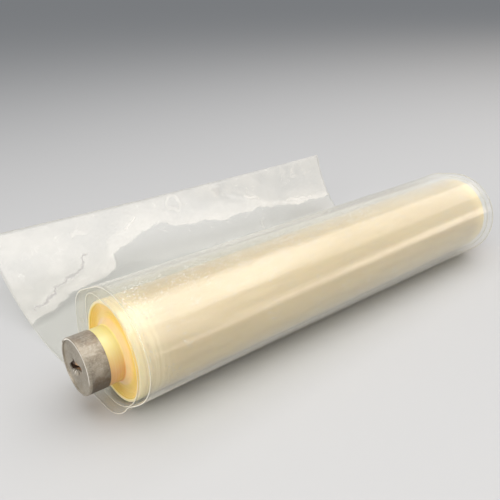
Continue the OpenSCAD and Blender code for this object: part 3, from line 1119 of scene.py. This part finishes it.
def makeLip():
    # the metal of the punched slot, bent out along its lower side
    wide, thick, columns = cap["lipWide"], cap["lipThick"], cap["lipColumns"]
    back = roll["capBack"] + cap["length"] - cap["recess"] + cap["lipOff"]
    root, drop = cap["lipDown"]
    spots = []
    for i in range(cap["lipRows"]):
        share = i / (cap["lipRows"] - 1)
        a = -wide / 2 + wide * share
        ragged = cap["lipRagged"] * noise.noise(Vector((a * 900, 3.1, 0.4)))
        tall = cap["lipTall"] * math.sin(math.pi * (0.12 + 0.76 * share)) + ragged
        for k in range(columns):
            bend = k / (columns - 1) * math.pi / 2
            down = root + drop * (1 - math.cos(bend))
            spots.append((a, -cap["slotWidth"] / 2 - down, back + tall * math.sin(bend)))
    points = [ontoFace(a, b, -out) for a, b, out in spots]
    points += [ontoFace(a, b + thick * 0.7, -(out + thick * 0.5)) for a, b, out in spots]
    lip = newObject("lip", points, shellFaces(cap["lipRows"], columns))
    closeAndFaceOut(lip)
    storeOn(lip, "wearAndHighlight", [1.0] * len(lip.data.vertices))   # bare metal and a painted highlight on the bend
    return lip


def rimGrowth(angle):
    # the rim is a little uneven, with one raised nick
    place, halfWide, tall = cap["nick"]
    nick = math.exp(-((math.degrees(angle) % 360 - place) / halfWide) ** 2)
    uneven = noise.noise(Vector((math.cos(angle) * 3, math.sin(angle) * 3, 1.0)))
    return cap["rimUneven"] * uneven + tall * nick


def turnedCup(name):
    profile = capProfile()
    count, segments = len(profile), cap["segments"]
    points, faces, wearAndHighlight = [], [], []
    for s in range(segments):
        angle = 2 * math.pi * s / segments
        # painted highlight, strongest on the rim's upper front side; wear all round at a lower share
        paintedHighlight = blend(0, 1, (math.cos(angle + cap["highlightTurn"]) - 0.05) / 0.5)
        wearAndHighlightHere = cap["wearLeast"] + (1 - cap["wearLeast"]) * paintedHighlight
        for r, x, wearAndHighlightShare in profile:
            grow = rimGrowth(angle) if x > cap["length"] - cap["roundIn"] else 0.0
            along = -(roll["capBack"] + x + grow)
            points.append((along, r * math.sin(angle), roll["axisHeight"] + r * math.cos(angle)))
            wearAndHighlight.append(wearAndHighlightShare * wearAndHighlightHere)
        t = (s + 1) % segments
        for k in range(count):
            after = (k + 1) % count
            faces.append((s * count + k, s * count + after, t * count + after, t * count + k))
    piece = newObject(name, points, faces)
    storeOn(piece, "wearAndHighlight", wearAndHighlight)
    closeAndFaceOut(piece, dropSlivers=True)
    return piece


def makeCap(name, far):
    piece = turnedCup(name)
    for tool, operation in ((slotCutter(), "DIFFERENCE"), (makeLip(), "UNION")):
        change = piece.modifiers.new("change", "BOOLEAN")
        change.object, change.operation, change.solver = tool, operation, "EXACT"
        piece.data = meshAfterModifiers(piece)
        bpy.data.objects.remove(tool)
    if far:
        for vertex in piece.data.vertices:
            vertex.co.x = -vertex.co.x - roll["farIn"]
        piece.data.flip_normals()
    piece.data.materials.clear()
    piece.data.materials.append(tarnishedMetal)
    smoothBut(piece, cap["sharpFrom"])
    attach(piece, "root")
    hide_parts("far_end_cap" if far else "near_end_cap")
    return piece


tarnishedMetal = capMaterial()
nearCap = makeCap("nearCap", False)
farCap = makeCap("farCap", True)
print("end caps made")


# The wooden core: its shape is the frame's own, and only its material is made here
coreLook = {
    "stretch": 0.1,                     # the grain runs along the roll
    "grain": (700.0, 4.0, 0.65),
    "grainBump": (0.0001, 0.6),
    "shades": [(0.3, (0.20, 0.10, 0.045)), (0.55, (0.42, 0.25, 0.13)), (0.8, (0.55, 0.36, 0.2))],
    # painted shade: the core is this dark away from the painted light in the near drive hole
    "dark": (0.05, 0.026, 0.014),
    "paintedLightSpot": (-0.0152, 0.0005, -0.0005),   # painted light in the middle of the near drive hole, x stretched as well
    "paintedLightEdge": (0.0022, 0.0042),
}


def coreMaterial():
    look = coreLook
    material, tree, output = newMaterial("turnedWood")
    coords = objectCoords(tree, shift=(0, 0, -roll["axisHeight"]), stretch=(look["stretch"], 1, 1))
    grain = noiseOn(tree, coords, *look["grain"])
    fromSpot = vectorCalc(tree, "DISTANCE", coords, look["paintedLightSpot"])
    colour = colourRamp(tree, grain, look["shades"])
    # painted shade in the hole's recess, lighter towards the painted light in its middle
    colour = mixColours(tree, smoothStep(tree, fromSpot, *look["paintedLightEdge"]), colour, look["dark"])
    surface = addNode(tree, "ShaderNodeBsdfPrincipled", {
        "Base Color": colour, "Roughness": calc(tree, "MULTIPLY_ADD", grain, 0.25, 0.5),
        "Normal": bumpFrom(tree, grain, *look["grainBump"])})
    tree.links.new(surface.outputs[0], output.inputs[0])
    return material


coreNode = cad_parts["core"]
coreNode.data.materials.clear()
coreNode.data.materials.append(coreMaterial())
print("core dressed")
